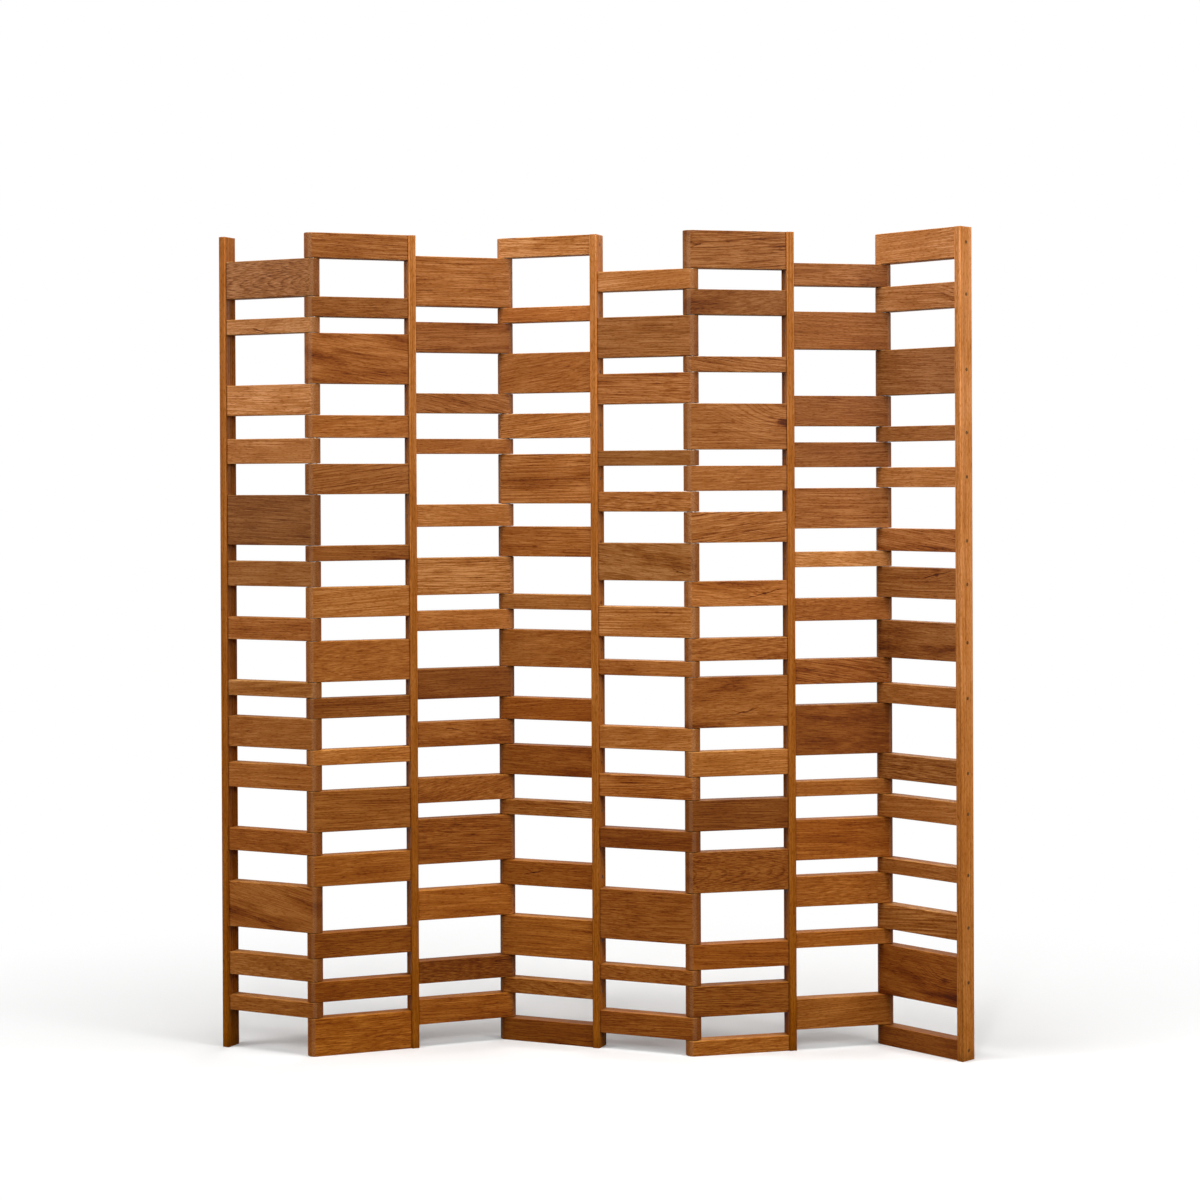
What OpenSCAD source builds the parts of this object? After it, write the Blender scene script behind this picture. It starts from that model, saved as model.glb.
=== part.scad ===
// Free-standing slatted folding screen: five rigid frames of horizontal slats on upright posts,
// joined by four knuckle hinges whose knuckles are the rounded ends of the slats themselves.
// Millimetres, +Z up, front towards -Y. The floor is Z = 0 and the origin is under the middle
// of the standing screen.

/* [Slats] */
// Thickness of every slat, and the diameter of its rounded knuckle end
slat_t = 34; // [28:1:38]
// Easing along the arrises of a slat
arris_r = 1.5; // [0.5:0.25:3]
// Width of slat stock A, the narrowest
width_a = 33.5; // [32:0.5:38]
// Width of slat stock B
width_b = 44; // [40:0.5:48]
// Width of slat stock C
width_c = 49.5; // [48:0.5:53]
// Width of slat stock D
width_d = 55; // [52:0.5:62]
// Width of slat stock E
width_e = 67; // [60:0.5:75]
// Width of slat stock F
width_f = 82.5; // [76:0.5:86]
// Width of slat stock G
width_g = 89; // [86:0.5:96]
// Width of slat stock H
width_h = 100.5; // [96:0.5:106]
// Width of slat stock I, the widest
width_i = 110.5; // [104:0.5:120]

/* [Order of the slats] */
// Stock letters down hinge 1, top first. The odd ones belong to the right-hand frame
order_1 = "DFBAIECDEIADECGABEADGCEHDCBAF"; // 29
// Stock letters down hinge 2. The odd ones belong to the right-hand frame
order_2 = "BIAEGBDAICEFABFECDEDAHDEGCADC"; // 29
// Stock letters down hinge 3. The odd ones belong to the right-hand frame
order_3 = "FBDGAEHADBEFDECAICDCEBGIDAECA"; // 29
// Stock letters down hinge 4. The odd ones belong to the right-hand frame
order_4 = "ECDFHEADBGCAECFDBIDACGAEDAIEB"; // 29

/* [Posts] */
// Width of a post across its front
post_w = 17; // [15:0.5:24]
// Depth of a post from front to back
post_d = 42; // [40:0.5:50]
// Rounding of a post's upright edges
post_edge_r = 3; // [1:0.25:3.5]
// Easing of a post's top and bottom ends
post_end_r = 1.5; // [0.5:0.25:3]

/* [Hinges] */
// From the axis of a hinge to the middle of the next post
reach = 222; // [160:1:260]
// Gap between one knuckle and the next in a stack
knuckle_gap = 1; // [0.9:0.1:2]
// Diameter of the hinge rod
rod_d = 8; // [6:0.5:10]
// Play of the rod in its bores, on the diameter
rod_play = 0.15; // [0.05:0.05:0.2]
// Wood left under the foot of a rod
rod_floor = 14; // [8:1:20]
// Diameter of the wooden cap over the top of a rod
cap_d = 14; // [12:0.5:18]
// Length of the wooden cap
cap_l = 9; // [5:0.5:15]
// Outer diameter of the washers between the knuckles
washer_d = 20; // [16:0.5:26]
// Thickness of a washer
washer_t = 0.8; // [0.4:0.1:0.8]

/* [Dowels] */
// Diameter of the dowel that holds a slat to its post
dowel_d = 8; // [6:0.5:10]
// Depth of a dowel in the end grain of its slat
dowel_depth = 40; // [20:1:60]
// Least height between two dowels that meet in one post
dowel_pitch = 12; // [10:0.5:16]

/* [Standing position] */
// Turn of the left end frame in plan, anticlockwise from the view plane
turn_1 = -26.5; // [-30:0.5:0]
// Turn of the second frame
turn_2 = 19.5; // [0:0.5:30]
// Turn of the middle frame
turn_3 = -23; // [-30:0.5:0]
// Turn of the fourth frame
turn_4 = 12.5; // [0:0.5:30]
// Turn of the right end frame
turn_5 = -47; // [-60:0.5:0]

/* [Hidden] */
columns = [1 : 8];
hinges = [1 : 4];
sizes = ["narrow", "medium", "wide"];
size_letters = ["ABC", "DE", "FGHI"];
posts = ["left_end_post", "second_post", "middle_post", "fourth_post", "right_end_post"];

slat_color = "#a5683a";
post_color = "#9c5c2f";
dowel_color = "#6b3f20";
steel_color = "#b9bcc0";

$fn = 48;
eps = 1;              // how far a cutter passes the face that it opens
glue_gap = 0.05;      // glue line round a dowel or a cap
rod_bevel = 0.8;      // bevel at both ends of a rod

// ---- the stacks of knuckles

widths = [width_a, width_b, width_c, width_d, width_e, width_f, width_g, width_h, width_i];
orders = [order_1, order_2, order_3, order_4];
last = len(order_1) - 1;

function total(list, i = 0) = i < len(list) ? list[i] + total(list, i + 1) : 0;
function width_of(letter) = widths[ord(letter) - ord("A")];
function slat_w(h, k) = width_of(orders[h - 1][k]);

// height of the whole screen: every knuckle of a hinge and the gaps between them
screen_h = total([for (k = [0 : last]) slat_w(1, k)]) + last * knuckle_gap;

// height of the underside of the slat at place k of hinge h, counted from the top
function slat_z(h, k) = screen_h - total([for (i = [0 : k]) slat_w(h, i)]) - k * knuckle_gap;
function slat_mid(h, k) = slat_z(h, k) + slat_w(h, k) / 2;

// A column is one bay of slats between a post and a hinge, numbered 1 to 8 from the left.
// Even columns have the top and bottom knuckles of their hinge, and odd columns fit between.
function hinge_of(c) = ceil(c / 2);
function frame_of(c) = floor(c / 2);
function is_even(c) = c % 2 == 0;
function places(c) = [for (k = [is_even(c) ? 0 : 1 : 2 : last]) k];
function places_in(c, letters) =
    [for (k = places(c)) if (len(search(orders[hinge_of(c) - 1][k], letters)) > 0) k];

// Two columns that share a post pin into it from both sides. A dowel sits at the middle height
// of its slat, and where two would meet in the post both move apart to the least pitch.
function neighbour(c) = is_even(c) ? c + 1 : c - 1;
function rival_gaps(c, z) = neighbour(c) < 1 || neighbour(c) > 8 ? [] :
    [for (k = places(neighbour(c)))
        let (d = z - slat_mid(hinge_of(neighbour(c)), k)) if (abs(d) < dowel_pitch) d];
function away(c, d) = (d > 0 || (d == 0 && is_even(c)) ? 1 : -1) * (dowel_pitch - abs(d)) / 2;
function dowel_z(c, k) =
    let (z = slat_mid(hinge_of(c), k), rivals = rival_gaps(c, z))
    len(rivals) > 0 ? z + away(c, rivals[0]) : z;

// ---- the plan

turns = [turn_1, turn_2, turn_3, turn_4, turn_5];
function step(c) = reach * [cos(turns[frame_of(c)]), sin(turns[frame_of(c)])];
// posts stand at the even corners of the zigzag, and hinges at the odd ones
function corner(i) = i == 0 ? [0, 0] : corner(i - 1) + step(i);

// the round corners of every post and every knuckle, as [centre, radius], bound the plan
rounds = concat(
    [for (f = [0 : 4], sx = [-1, 1], sy = [-1, 1])
        let (x = sx * (post_w / 2 - post_edge_r), y = sy * (post_d / 2 - post_edge_r), a = turns[f])
        [corner(2 * f) + [x * cos(a) - y * sin(a), x * sin(a) + y * cos(a)], post_edge_r]],
    [for (h = hinges) [corner(2 * h - 1), slat_t / 2]]);
low = [for (i = [0, 1]) min([for (r = rounds) r[0][i] - r[1]])];
high = [for (i = [0, 1]) max([for (r = rounds) r[0][i] + r[1]])];
middle = (low + high) / 2;
function place(i) = corner(i) - middle;

module at_post(f) {
    translate(place(2 * f)) rotate(turns[f]) children();
}

// local X runs from the post's middle along the slats to the hinge axis
module at_column(c) {
    at_post(frame_of(c)) rotate(is_even(c) ? 180 : 0) children();
}

module at_hinge(h) {
    translate(place(2 * h - 1)) children();
}

// ---- shared shapes

module rounded_rect(a, b, r) {
    translate([r, 0]) square([a - 2 * r, b]);
    translate([0, r]) square([a, b - 2 * r]);
    for (x = [r, a - r], y = [r, b - r]) translate([x, y]) circle(r);
}

// section of a slat, its thickness across X and its width up Y
module slat_section(w) {
    translate([-slat_t / 2, 0]) rounded_rect(slat_t, w, arris_r);
}

// a dowel lying along local X from the far face of the post into the slat
module dowel_shape(d, overrun = 0) {
    translate([-post_w / 2 - overrun, 0, 0]) rotate([0, 90, 0])
        cylinder(d = d, h = post_w + dowel_depth + overrun);
}

// ---- the pieces

// One slat: a plain board from the post to the hinge axis, then the half-round knuckle
module slat(c, k) {
    h = hinge_of(c);
    w = slat_w(h, k);
    z = slat_z(h, k);
    difference() {
        translate([0, 0, z]) {
            translate([post_w / 2, 0, 0]) rotate([90, 0, 90])
                linear_extrude(reach - post_w / 2) slat_section(w);
            translate([reach, 0, 0]) rotate(-90) rotate_extrude(angle = 180) intersection() {
                slat_section(w);
                square([slat_t, w]);
            }
        }
        translate([reach, 0, k == last ? rod_floor : z - eps])
            cylinder(d = rod_d + rod_play, h = w + 2 * eps);
        if (k == 0)
            translate([reach, 0, screen_h - cap_l])
                cylinder(d = cap_d + 2 * glue_gap, h = cap_l + eps);
        translate([0, 0, dowel_z(c, k)]) dowel_shape(dowel_d + 2 * glue_gap);
    }
}

module slats(c, letters) {
    color(slat_color) at_column(c) for (k = places_in(c, letters)) slat(c, k);
}

// Outline of a post with eased ends, extruded through its other width
module post_side(a, depth) {
    rotate([90, 0, 0]) linear_extrude(depth, center = true)
        translate([-a / 2, 0]) rounded_rect(a, screen_h, post_end_r);
}

module post(f) {
    color(post_color) difference() {
        at_post(f) intersection() {
            linear_extrude(screen_h) translate([-post_w / 2, -post_d / 2])
                rounded_rect(post_w, post_d, post_edge_r);
            post_side(post_w, post_d + 2 * eps);
            rotate(90) post_side(post_d, post_w + 2 * eps);
        }
        for (c = columns) if (frame_of(c) == f) at_column(c) for (k = places(c))
            translate([0, 0, dowel_z(c, k)]) dowel_shape(dowel_d + 2 * glue_gap, eps);
    }
}

module slat_dowels(c) {
    color(dowel_color) at_column(c) for (k = places(c))
        translate([0, 0, dowel_z(c, k)]) dowel_shape(dowel_d);
}

// A steel rod stands on the floor of its bore and ends under the wooden cap
module hinge_rod(h) {
    rod_l = screen_h - cap_l - rod_floor;
    r = rod_d / 2;
    color(steel_color) at_hinge(h) translate([0, 0, rod_floor]) rotate_extrude()
        polygon([[0, 0], [r - rod_bevel, 0], [r, rod_bevel], [r, rod_l - rod_bevel],
                 [r - rod_bevel, rod_l], [0, rod_l]]);
}

module rod_cap(h) {
    color(dowel_color) at_hinge(h) translate([0, 0, screen_h - cap_l])
        cylinder(d = cap_d, h = cap_l);
}

// A washer on the rod in the middle of every gap of the stack
module hinge_washers(h) {
    color(steel_color) at_hinge(h) for (k = [1 : last])
        translate([0, 0, slat_z(h, k) + slat_w(h, k) + (knuckle_gap - washer_t) / 2])
            difference() {
                cylinder(d = washer_d, h = washer_t);
                translate([0, 0, -eps]) cylinder(d = rod_d + rod_play, h = washer_t + 2 * eps);
            }
}

for (f = [0 : 4]) post(f);
for (c = columns, s = [0 : 2])
    slats(c, size_letters[s]);
for (c = columns) slat_dowels(c);
for (h = hinges) hinge_rod(h);
for (h = hinges) rod_cap(h);
for (h = hinges) hinge_washers(h);
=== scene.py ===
import math

import bmesh
import bpy
import numpy as np
from mathutils import Euler, Matrix, Vector


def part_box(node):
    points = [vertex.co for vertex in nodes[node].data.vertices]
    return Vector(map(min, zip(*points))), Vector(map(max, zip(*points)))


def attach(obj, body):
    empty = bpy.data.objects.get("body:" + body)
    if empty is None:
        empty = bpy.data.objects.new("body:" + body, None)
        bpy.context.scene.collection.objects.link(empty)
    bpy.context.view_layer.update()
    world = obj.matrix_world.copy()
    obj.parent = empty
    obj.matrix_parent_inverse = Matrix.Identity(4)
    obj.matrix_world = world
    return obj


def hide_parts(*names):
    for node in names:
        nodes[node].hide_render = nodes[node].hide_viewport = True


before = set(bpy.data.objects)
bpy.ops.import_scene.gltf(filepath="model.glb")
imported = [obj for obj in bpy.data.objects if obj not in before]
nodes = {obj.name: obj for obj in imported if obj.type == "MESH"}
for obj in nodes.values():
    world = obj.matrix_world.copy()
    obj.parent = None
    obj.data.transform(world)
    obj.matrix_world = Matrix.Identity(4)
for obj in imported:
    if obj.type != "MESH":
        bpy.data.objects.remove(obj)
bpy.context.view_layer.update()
print("frame loaded:", len(nodes), "CAD nodes")

# the camera stands where the photographer's did, and looks almost straight ahead
viewpoint = {
    "place": (-0.061, -5.272, 1.259),   # metres
    "turn": 0.88,                       # degrees, towards the right
    "tilt": -0.31,                      # degrees, up is positive
    "roll": 0.25,                       # degrees
    "lens": 71.8,                       # millimetres, like the sensor's width
    "sensor": 36,
    "rise": -0.09,                      # the frame's shift upwards, as a part of its width
}
camera = bpy.data.objects.new("viewCamera", bpy.data.cameras.new("viewCamera"))
bpy.context.scene.collection.objects.link(camera)
camera.location = viewpoint["place"]
camera.rotation_euler = Euler([math.radians(a) for a in (
    90 + viewpoint["tilt"], viewpoint["roll"], -viewpoint["turn"])], "XYZ")
camera.data.lens = viewpoint["lens"]
camera.data.sensor_width = viewpoint["sensor"]
camera.data.shift_y = viewpoint["rise"]
bpy.context.scene.camera = camera

# the layout of the screen as the CAD has it, in metres
screen = {
    "stock": dict(zip("ABCDEFGHI", (    # the widths that slats come in
        0.0335, 0.044, 0.0495, 0.055, 0.067, 0.0825, 0.089, 0.1005, 0.1105))),
    # the stock of each hinge's slats from the top down, by turns of the column at its right and its left
    "orders": ("DFBAIECDEIADECGABEADGCEHDCBAF", "BIAEGBDAICEFABFECDEDAHDEGCADC",
               "FBDGAEHADBEFDECAICDCEBGIDAECA", "ECDFHEADBGCAECFDBIDACGAEDAIEB"),
    "turns": (-26.5, 19.5, -23, 12.5, -47),     # degrees, one per frame
    "height": 1.8,
    "reach": 0.222,         # from a post's middle to the hinge's axis
    "knuckleGap": 0.001,
    "postWidth": 0.017,
    "postDepth": 0.042,
}
postNames = ("left_end_post", "second_post", "middle_post", "fourth_post", "right_end_post")
bodyNames = ("left_frame", "second_frame", "middle_frame", "fourth_frame", "right_frame")
sizeLetters = {"narrow": "ABC", "medium": "DE", "wide": "FGHI"}
columns = range(1, 9)
lastPlace = len(screen["orders"][0]) - 1


# columns are counted from 1, and hinges, frames and places down a hinge from 0
def hingeOf(column):
    return (column + 1) // 2 - 1


def frameOf(column):
    return column // 2


def placesOf(column):
    # even columns have the slat at the very top and every second one below it
    return range(0 if column % 2 == 0 else 1, lastPlace + 1, 2)


def slatWidth(hinge, place):
    return screen["stock"][screen["orders"][hinge][place]]


def undersideOf(hinge, place):
    above = sum(slatWidth(hinge, k) for k in range(place + 1))
    return screen["height"] - above - place * screen["knuckleGap"]


def planCorners():
    # running sum of one step per column along its frame's turn, from the middle of the left post
    low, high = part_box("left_end_post")
    turns = np.radians([screen["turns"][frameOf(c)] for c in columns])
    steps = screen["reach"] * np.stack([np.cos(turns), np.sin(turns)], 1)
    first = (np.array(low) + np.array(high))[:2] / 2
    return np.vstack([first, first + np.cumsum(steps, 0)])


corners = planCorners()


def postMatrix(f):
    x, y = corners[2 * f]
    return Matrix.Translation((x, y, 0)) @ Matrix.Rotation(math.radians(screen["turns"][f]), 4, "Z")


def columnMatrix(column):
    # local X runs from the post's middle along the slats to the hinge axis
    half = Matrix.Rotation(math.pi if column % 2 == 0 else 0, 4, "Z")
    return postMatrix(frameOf(column)) @ half


def turned(vectors, matrix):
    return vectors @ np.array(matrix)[:3, :3].T


def moved(points, matrix):
    return turned(points, matrix) + np.array(matrix)[:3, 3]


class Wire:
    # a shader socket that can be added, multiplied and so on; each operator adds a Math node
    def __init__(self, tree, socket):
        self.tree, self.socket = tree, socket

    @classmethod
    def node(cls, tree, kind, settings=None, sockets=None, out=0):
        # settings go in first, then the value or the link of each socket
        made = tree.nodes.new(kind)
        for name, value in (settings or {}).items():
            if name == "stops":
                while len(made.color_ramp.elements) < len(value):
                    made.color_ramp.elements.new(1)
                for element, (place, colour) in zip(made.color_ramp.elements, value):
                    element.position, element.color = place, (*colour, 1)
            else:
                setattr(made, name, value)
        for key, value in (sockets or {}).items():
            if isinstance(value, Wire):
                tree.links.new(value.socket, made.inputs[key])
            else:
                made.inputs[key].default_value = value
        return cls(tree, made.outputs[out])

    def maths(self, operation, *values):
        return Wire.node(self.tree, "ShaderNodeMath", {"operation": operation}, dict(enumerate(values)))

    def __add__(self, other):
        return self.maths("ADD", self, other)

    def __radd__(self, other):
        return self.maths("ADD", other, self)

    def __sub__(self, other):
        return self.maths("SUBTRACT", self, other)

    def __rsub__(self, other):
        return self.maths("SUBTRACT", other, self)

    def __mul__(self, other):
        return self.maths("MULTIPLY", self, other)

    def __rmul__(self, other):
        return self.maths("MULTIPLY", other, self)

    def __truediv__(self, other):
        return self.maths("DIVIDE", self, other)

    def __rtruediv__(self, other):
        return self.maths("DIVIDE", other, self)

    def least(self, other):
        return self.maths("MINIMUM", self, other)

    def most(self, other):
        return self.maths("MAXIMUM", self, other)

    def rise(self, low, high):
        # 0 below low, 1 above high, and a smooth step between
        return Wire.node(self.tree, "ShaderNodeMapRange", {"interpolation_type": "SMOOTHSTEP"},
                         {0: self, 1: low, 2: high})

    def part(self, axis):
        return Wire.node(self.tree, "ShaderNodeSeparateXYZ", None, {0: self}, axis)

    def by(self, factors):
        # a vector or colour times another, part by part
        return Wire.node(self.tree, "ShaderNodeVectorMath", {"operation": "MULTIPLY"},
                         {0: self, 1: factors})

    def dimmed(self, amount):
        # a vector or colour times one value
        return Wire.node(self.tree, "ShaderNodeVectorMath", {"operation": "SCALE"},
                         {0: self, 3: amount})

    def length(self):
        return Wire.node(self.tree, "ShaderNodeVectorMath", {"operation": "LENGTH"}, {0: self}, 1)

    def size(self):
        # the value without its sign
        return self.maths("ABSOLUTE", self)

    def noise(self, detail=2.0, roughness=0.5, **settings):
        sockets = {"Scale": 1.0, "Detail": detail, "Roughness": roughness}
        sockets["W" if settings.get("noise_dimensions") == "1D" else "Vector"] = self
        return Wire.node(self.tree, "ShaderNodeTexNoise", settings, sockets)

    def tinted(self, under, over):
        # two colours mixed by this value
        return Wire.node(self.tree, "ShaderNodeMix", {"data_type": "RGBA"},
                         {0: self, 6: under, 7: over}, 2)

    def beside(self, name):
        # another output of the same node
        return Wire(self.tree, self.socket.node.outputs[name])


def attributeOf(tree, name):
    return Wire.node(tree, "ShaderNodeAttribute", {"attribute_name": name}, None, 1)


def newMaterial(name, constants, shade):
    # constants go straight onto the shader's sockets; shade(tree) gives those that vary
    material = bpy.data.materials.new(name)
    material.use_nodes = True
    tree = material.node_tree
    shader = tree.nodes["Principled BSDF"]
    for key, value in constants.items():
        shader.inputs[key].default_value = value
    for key, value in shade(tree).items():
        tree.links.new(value.socket, shader.inputs[key])
    return material


# Each point of the wood carries its place in the log that its board was sawn from, X along the
# grain and Y, Z across it from the pith; the board's tint, painted sheen included; a figure (strength of
# the rings, their pitch in metres, strength of the smoky streaks); and how far it lies from the board's
# knot.
wood = {
    # colours of wood from the palest to the darkest, how dark each of them is, and plain wood
    "pale": (0.515, 0.198, 0.0500),
    "middle": (0.332, 0.100, 0.0138),
    "deep": (0.185, 0.040, 0.0020),
    "darkest": (0.075, 0.0120, 0.0004),
    "stops": (0.0, 0.38, 0.8, 1.0),
    "middling": 0.35,
    # how much darker each line, streak or mark makes it
    "fibre": 1.75,
    "grain": 0.28,
    "strand": 0.24,
    "fleck": 0.30,
    "smoke": 0.62,
    "cloud": 0.46,
    "late": 0.54,                   # the dark part of a year's ring
    "band": 0.34,                   # the slow change from year to year
    "heart": 0.75,
    "crack": 0.6,
    "lineShift": -0.12,
    "smokeShift": -0.2,
    "threadShow": (0.62, 0.8),      # on a board without rings, and more with their strength
    "bulgeShow": 0.8,               # how much stronger the rings are round a knot
    # how often each noise changes in a metre, along the grain and twice across it
    "rates": {
        "stray": (2.6, 8, 8),
        "wave": (38, 90, 90),
        "quick": (4, 18, 18),
        "fine": (40, 400, 400),
        "fibre": (8, 640, 640),
        "grain": (3.6, 270, 270),
        "strand": (2, 48, 48),
        "fleck": (95, 600, 600),
        "smoke": (4, 27, 27),
        "cloud": (7, 12, 12),
        "ragged": (60, 300, 300),
        "year": 42,                 # across the grain only, like band
        "band": 110,
    },
    "fleckSpan": (0.48, 0.74),      # where its noise starts to show and where it shows in full
    "smokeSpan": (0.49, 0.74),
    "stray": 0.015,                 # metres that the fibres wander across the grain
    "quickBend": 1.5,               # rings that a slow noise bends them by
    "fineBend": 0.0006,             # metres that a quick noise bends them by
    "yearSpread": 3.5,              # rings that the width of the years adds up to
    "lateSpan": (0.58, 0.94),       # parts of a year
    # a knot, in its own radii unless it says metres
    "knotShape": (0.45, 1, 0),      # drawn out along the grain, whatever the depth
    "knotBulge": 1.6,
    "bulgeSpan": (0.3, 4.0),
    "heartTight": 1.5,
    "heartWave": 1.6,
    "heartSpan": (0.15, 0.95),
    "crackSlope": 0.24,
    "crackWave": 0.007,             # metres
    "crackWidth": (0.0004, 0.0015),     # metres
    "crackReach": (4.5, 8.0),
    "crackLargest": (0.007, 0.010),     # metres, the radius of the knots that crack
    # what lies over the grain, and how much of it shows
    # end grain is darker; round the far half of the knuckles this darkening is partly painted shade
    "endGrainAndShade": (0.150, 0.040, 0.0060),
    "endGrainAndShadeShow": 0.5,
    # a painted highlight: the paler colour of a strip down the knuckles, and how much of it shows
    "paintedHighlight": (0.60, 0.36, 0.20),
    "paintedHighlightShow": 0.13,
    "worn": (1.0, 1.16, 1.14),      # what the sawn edges multiply their colour by
    "wornBright": 0.22,
    # painted shade where a slat meets its post; on the posts it darkens them towards the floor
    "shadeAndDirtShow": 0.5,
    # the surface: what makes it rough, and what stands up from it or lies deeper
    "reflection": 0.10,
    "roughness": 0.42,
    "rough": {"grain": 0.14, "cloud": 0.16, "fleck": 0.12, "wear": 0.22, "endGrainAndShade": 0.14, "late": 0.03},
    "raised": {"fibre": 0.6, "grain": 0.3, "fleck": 0.9, "late": 0.4, "crack": 1.5},
    "bump": 0.4,
    "bumpDepth": 0.00035,           # metres
    "slopeStart": 0.1,              # metres along a board to the point that its slope turns about
    # red, green and blue of a board's tint: power of its level, share of its own, warm share and share of
    # painted sheen
    "tint": ((1, 1, 0, 0), (1.2, 1, 0.07, 0.24), (1.6, 1.03, 0.20, 1.08)),
}


def woodShade(tree, look, wear, endGrainAndShade, shadeAndDirt, paintedHighlight=None):
    rates, rough, raised = look["rates"], look["rough"], look["raised"]
    place, tone, figure, mark = (attributeOf(tree, name) for name in (
        "grainPlace", "boardTone", "boardFigure", "boardMark"))
    strength, pitch, streaks = (figure.part(i) for i in range(3))
    # a slow noise lets the fibres wander across the grain
    wander = place.by(rates["stray"]).noise(detail=1.0).beside("Color")
    flow = Wire.node(tree, "ShaderNodeVectorMath", {"operation": "MULTIPLY_ADD"},
                     {0: wander, 1: (0, look["stray"], look["stray"]), 2: place})
    # a knot pushes the rings out, has a dark heart and trails off into a thin crack
    wave = place.by(rates["wave"]).noise(detail=2.0) - 0.5
    along, off, knot = (mark.part(i) for i in range(3))
    far = mark.by(look["knotShape"]).length() / knot
    bulge = 1 - far.rise(*look["bulgeSpan"])
    heart = 1 - (far * look["heartTight"] + wave * look["heartWave"]).rise(*look["heartSpan"])
    aside = (off + along * look["crackSlope"] + wave * look["crackWave"]).size()
    crack = (1 - aside.rise(*look["crackWidth"])) * (
        1 - (along.size() / knot).rise(*look["crackReach"])) * (1 - knot.rise(*look["crackLargest"]))
    # rings: distance from the pith, bent by noises, cut into years of uneven width
    quick = flow.by(rates["quick"]).noise(detail=1.5) - 0.5
    fine = flow.by(rates["fine"]).noise(detail=2.0) - 0.5
    bent = (flow.by((0, 1, 1)).length() + quick * pitch * look["quickBend"] + fine * look["fineBend"]
            + bulge * knot * look["knotBulge"])
    uneven = (bent * rates["year"]).noise(detail=1.0, noise_dimensions="1D")
    years = bent / pitch + uneven * look["yearSpread"]
    within = years.maths("FRACT", years)
    late = within.rise(*look["lateSpan"]) * (1 - within.rise(look["lateSpan"][1], 1.0))
    bands = (bent * rates["band"]).noise(detail=2.0, noise_dimensions="1D") - 0.5
    # lines of three widths, short pores, smoky streaks and soft clouds, all along the grain
    fibre = flow.by(rates["fibre"]).noise(detail=1.0, roughness=0.6) - 0.5
    grain = flow.by(rates["grain"]).noise(detail=2.0) - 0.5
    strand = flow.by(rates["strand"]).noise(detail=2.0) - 0.5
    fleck = flow.by(rates["fleck"]).noise(detail=1.0).rise(*look["fleckSpan"])
    smoke = flow.by(rates["smoke"]).noise(detail=3.0, roughness=0.55).rise(*look["smokeSpan"])
    cloud = flow.by(rates["cloud"]).noise(detail=2.0) - 0.5
    plainShow, ringShow = look["threadShow"]
    lines = (strength + bulge * look["bulgeShow"]) * (
        late * look["late"] + look["lineShift"] + bands * look["band"])
    threads = ((fibre * look["fibre"] + grain * look["grain"] + strand * look["strand"])
               * (plainShow + strength * ringShow))
    depth = (look["middling"] + lines + threads + fleck * look["fleck"]
             + (smoke + look["smokeShift"]) * streaks * look["smoke"] + cloud * look["cloud"]
             + heart * look["heart"] + crack * look["crack"])
    stops = zip(look["stops"], (look[shade] for shade in ("pale", "middle", "deep", "darkest")))
    colour = Wire.node(tree, "ShaderNodeValToRGB", {"stops": tuple(stops)}, {0: depth})
    # end grain darkens it, which round the knuckles is partly painted shade
    colour = (endGrainAndShade * look["endGrainAndShadeShow"]).tinted(colour.by(tone), look["endGrainAndShade"] + (1,))
    # the painted highlight down the knuckles
    if paintedHighlight:
        colour = (paintedHighlight * look["paintedHighlightShow"]).tinted(colour, look["paintedHighlight"] + (1,))
    colour = wear.tinted(colour, colour.by(look["worn"]))
    # wear makes the edges paler; painted shade darkens the slats next to the posts, and the posts darken
    # towards the floor
    colour = colour.dimmed((1 + wear * look["wornBright"]) * (1 - shadeAndDirt * look["shadeAndDirtShow"]))
    roughness = (look["roughness"] + grain * rough["grain"] + cloud * rough["cloud"]
                 + fleck * rough["fleck"] + wear * rough["wear"] + endGrainAndShade * rough["endGrainAndShade"]
                 + late * rough["late"])
    height = (fibre * raised["fibre"] + grain * raised["grain"] - fleck * raised["fleck"]
              - late * strength * raised["late"] - crack * raised["crack"])
    bump = Wire.node(tree, "ShaderNodeBump", None,
                     {"Strength": look["bump"], "Distance": look["bumpDepth"], "Height": height})
    return {"Base Color": colour, "Roughness": roughness, "Normal": bump}


def raggedEdge(tree, look):
    # metres by which the borders of wear and dirt waver
    return attributeOf(tree, "grainPlace").by(look["rates"]["ragged"]).noise(detail=2.0) * look["ragged"]


# in metres: wear from the arrises, painted shade where the slat meets the post from the post's middle, the
# others past the hinge's axis
slatLook = dict(wood, ragged=0.0022, wearSpan=(0.0012, 0.0034), shadeAndDirtSpan=(0.0094, 0.0125),
                endSpan=(0.002, 0.0165), paintedHighlightFrom=(0.0035, 0.0075), paintedHighlightTo=(0.0115, 0.0145))


def slatShade(tree):
    # slatEdge is (distance from the post's middle, height over the underside, depth under the top)
    edge = attributeOf(tree, "slatEdge")
    along, over, under = (edge.part(i) for i in range(3))
    ragged = raggedEdge(tree, slatLook)
    wear = 1 - (over.least(under) + ragged).rise(*slatLook["wearSpan"])
    # darker end grain round the knuckle's far half, partly painted shade on the side that turns away
    endGrainAndShade = along.rise(*(screen["reach"] + past for past in slatLook["endSpan"]))
    # painted shade: darker close to the post, in the corner where the slat meets it
    shadeAndDirt = 1 - (along + ragged).rise(*slatLook["shadeAndDirtSpan"])
    # a painted highlight: a paler strip down the turn of the knuckles
    past = along + ragged - screen["reach"]
    paintedHighlight = past.rise(*slatLook["paintedHighlightFrom"]) * (1 - past.rise(*slatLook["paintedHighlightTo"]))
    return woodShade(tree, slatLook, wear, endGrainAndShade, shadeAndDirt, paintedHighlight)


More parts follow.
